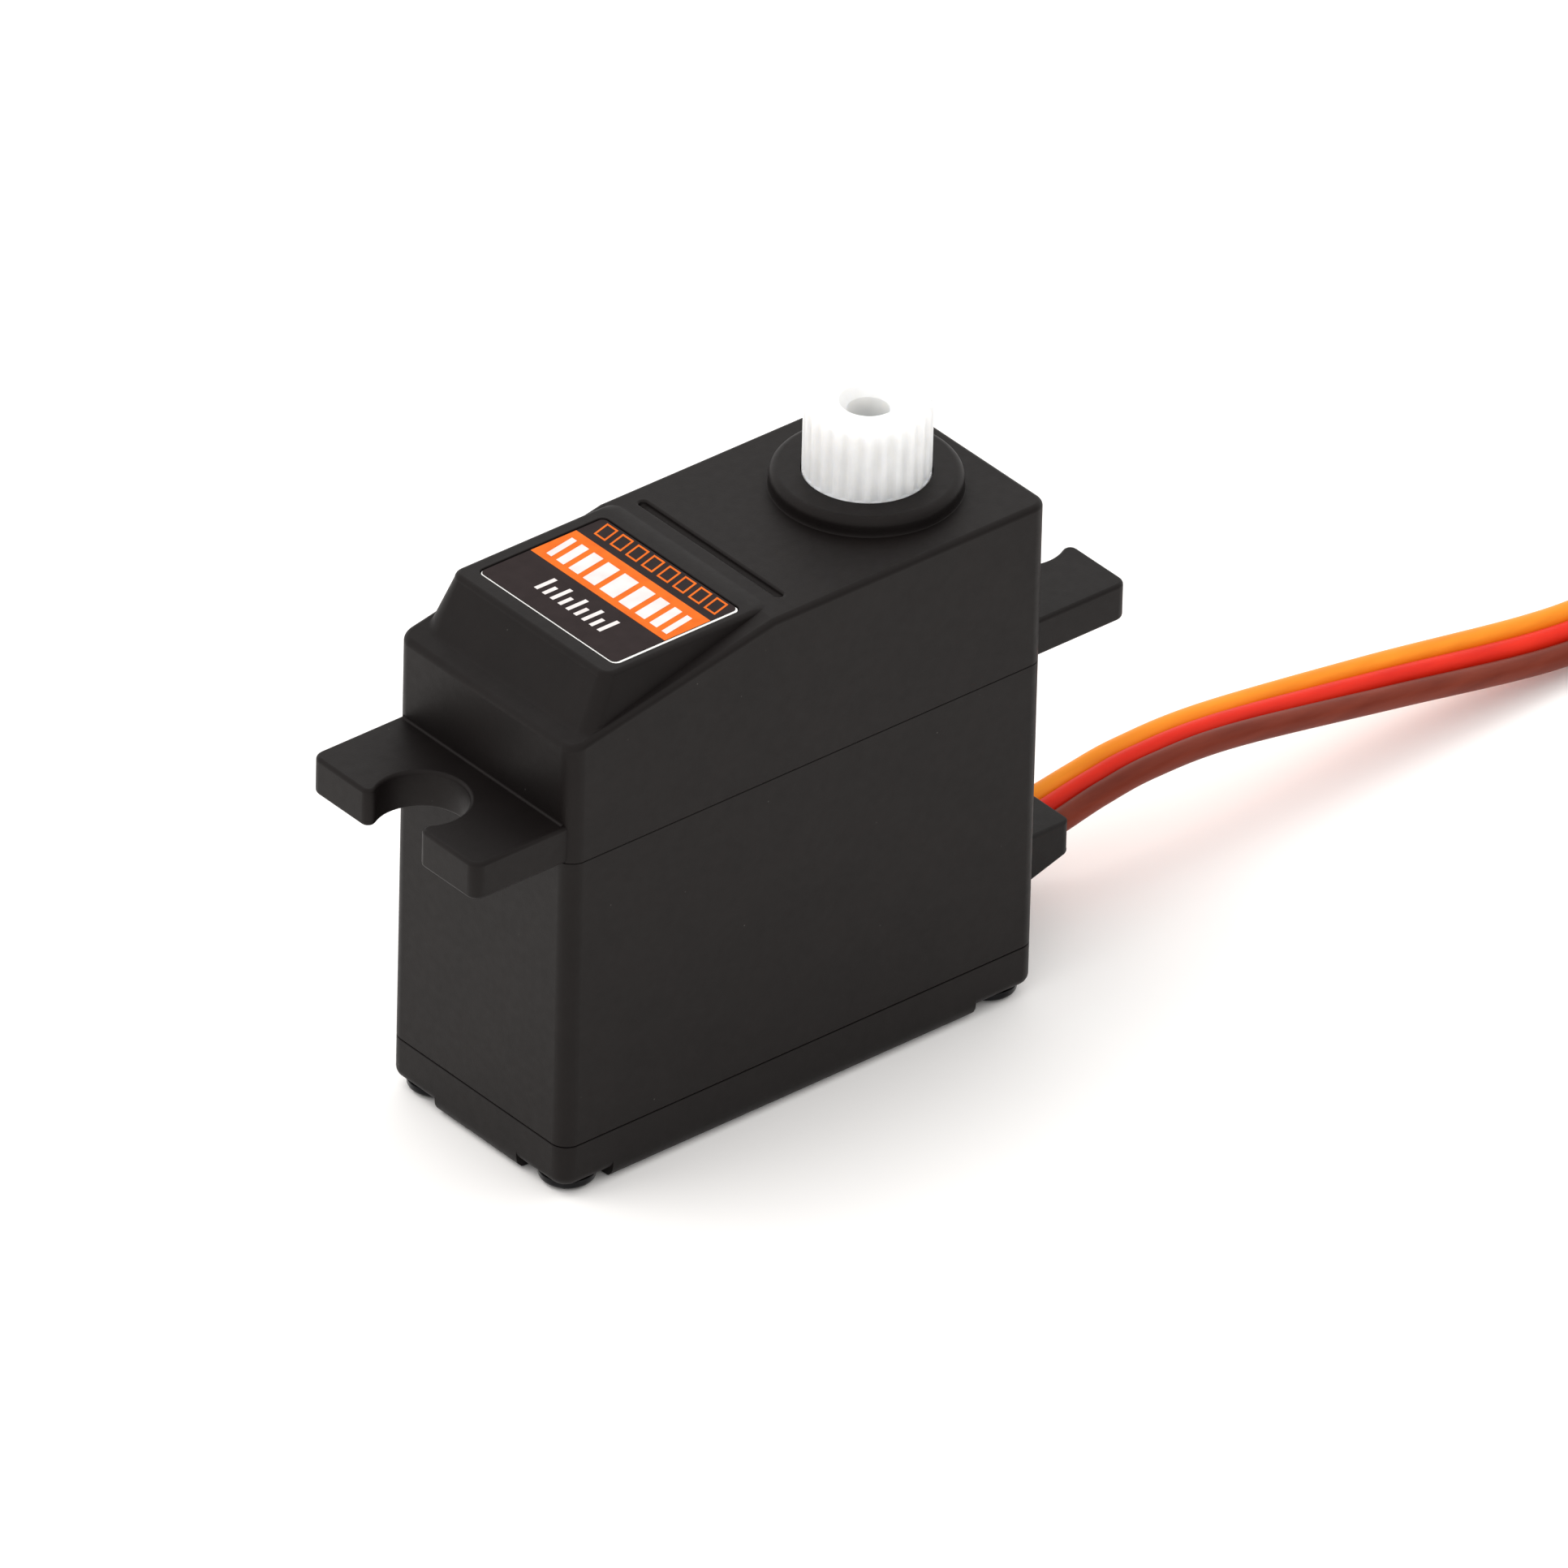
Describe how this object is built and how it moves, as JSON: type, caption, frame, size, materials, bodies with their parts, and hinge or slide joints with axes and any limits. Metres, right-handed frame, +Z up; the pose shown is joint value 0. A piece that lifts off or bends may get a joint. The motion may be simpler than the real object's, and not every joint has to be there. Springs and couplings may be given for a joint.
{
  "type": "servo motor",
  "caption": "Mini servo motor with a black nylon case, notched mounting lugs, a white splined output shaft and a flat three-colour lead that ends in a plug.",
  "frame": {"origin": "on the output axis at the base plane, under the splined shaft", "axes": "+Z up along the output shaft, -X towards the motor end of the case, +X towards the lead, Y across the case"},
  "size_m": [0.1028, 0.0126, 0.0316],
  "materials": {
    "black_nylon": "fine spark-eroded texture, satin",
    "label_film": "printed film, dark ground with an orange stripe and thin light rules",
    "black_steel": "black oxide, glossy",
    "white_nylon": "natural white nylon, slightly translucent",
    "steel": "plain bright steel",
    "brass": "stamped and turned brass",
    "copper": "enamelled copper wire and copper segments",
    "ferrite": "sintered ferrite, matte",
    "black_plastic": "plain black moulding",
    "laminate": "glass-fibre laminate with solder mask",
    "tinned_metal": "tinned metal",
    "black_rubber": "soft black moulding, matte",
    "wire_orange": "flexible insulation, satin",
    "wire_red": "flexible insulation, satin",
    "wire_brown": "flexible insulation, satin",
    "wire_white": "flexible insulation, satin"
  },
  "bodies": {
    "case": {"top_case": "black_nylon", "middle_case": "black_nylon", "bottom_cover": "black_nylon", "case_screw_1": "black_steel", "case_screw_2": "black_steel", "case_screw_3": "black_steel", "case_screw_4": "black_steel", "label": "label_film", "gear_pin_a": "steel", "gear_pin_b": "steel", "motor_can": "steel", "motor_bushing": "brass", "motor_magnet_1": "ferrite", "motor_magnet_2": "ferrite", "motor_end_cap": "black_plastic", "motor_terminal_1": "brass", "motor_terminal_2": "brass", "motor_brush_1": "brass", "motor_brush_2": "brass", "pot_body": "black_plastic", "pot_track": "laminate", "circuit_board": "laminate", "control_chip": "black_plastic", "driver_chip_1": "black_plastic", "driver_chip_2": "black_plastic", "chip_capacitor": "tinned_metal", "power_capacitor": "tinned_metal", "lead_wire_orange": "wire_orange", "lead_wire_red": "wire_red", "lead_wire_brown": "wire_brown", "cable_grommet": "black_rubber", "plug_housing": "black_plastic", "plug_contact_1": "brass", "plug_contact_2": "brass", "plug_contact_3": "brass", "motor_wire_1": "wire_red", "motor_wire_2": "black_plastic", "pot_wire_1": "wire_red", "pot_wire_2": "wire_white", "pot_wire_3": "black_plastic"},
    "output": {"output_gear": "white_nylon", "pot_shaft": "steel"},
    "fourth": {"fourth_gear": "white_nylon"},
    "third": {"third_gear": "white_nylon"},
    "second": {"second_gear": "white_nylon"},
    "first": {"first_gear": "white_nylon"},
    "rotor": {"motor_shaft": "steel", "motor_armature": "steel", "armature_winding_1": "copper", "armature_winding_2": "copper", "armature_winding_3": "copper", "motor_commutator": "copper", "motor_pinion": "brass"}
  },
  "joints": [
    {"name": "motor_turn", "type": "hinge", "parent": "case", "child": "rotor", "pos_m": [-0.0162, 0, 0.019], "axis": [0, 0, 1], "range_deg": [-26869, 26869]},
    {"name": "first_gear_turn", "type": "hinge", "parent": "case", "child": "first", "pos_m": [-0.0112, 0, 0.019], "axis": [0, 0, 1], "range_deg": [-6720, 6720]},
    {"name": "second_gear_turn", "type": "hinge", "parent": "case", "child": "second", "pos_m": [-0.0057, 0, 0.019], "axis": [0, 0, 1], "range_deg": [-1980, 1980]},
    {"name": "third_gear_turn", "type": "hinge", "parent": "case", "child": "third", "pos_m": [0, 0, 0.019], "axis": [0, 0, 1], "range_deg": [-710, 710]},
    {"name": "fourth_gear_turn", "type": "hinge", "parent": "case", "child": "fourth", "pos_m": [-0.0057, 0, 0.019], "axis": [0, 0, 1], "range_deg": [-254, 254]},
    {"name": "output_turn", "type": "hinge", "parent": "case", "child": "output", "pos_m": [0, 0, 0.0252], "axis": [0, 0, 1], "range_deg": [-90, 90]}
  ],
  "couplings": [
    {"joint": "first_gear_turn", "follows": "motor_turn", "ratio": -0.25},
    {"joint": "second_gear_turn", "follows": "motor_turn", "ratio": 0.073529},
    {"joint": "third_gear_turn", "follows": "motor_turn", "ratio": -0.026261},
    {"joint": "fourth_gear_turn", "follows": "motor_turn", "ratio": 0.0093788},
    {"joint": "output_turn", "follows": "motor_turn", "ratio": -0.0033496}
  ]
}
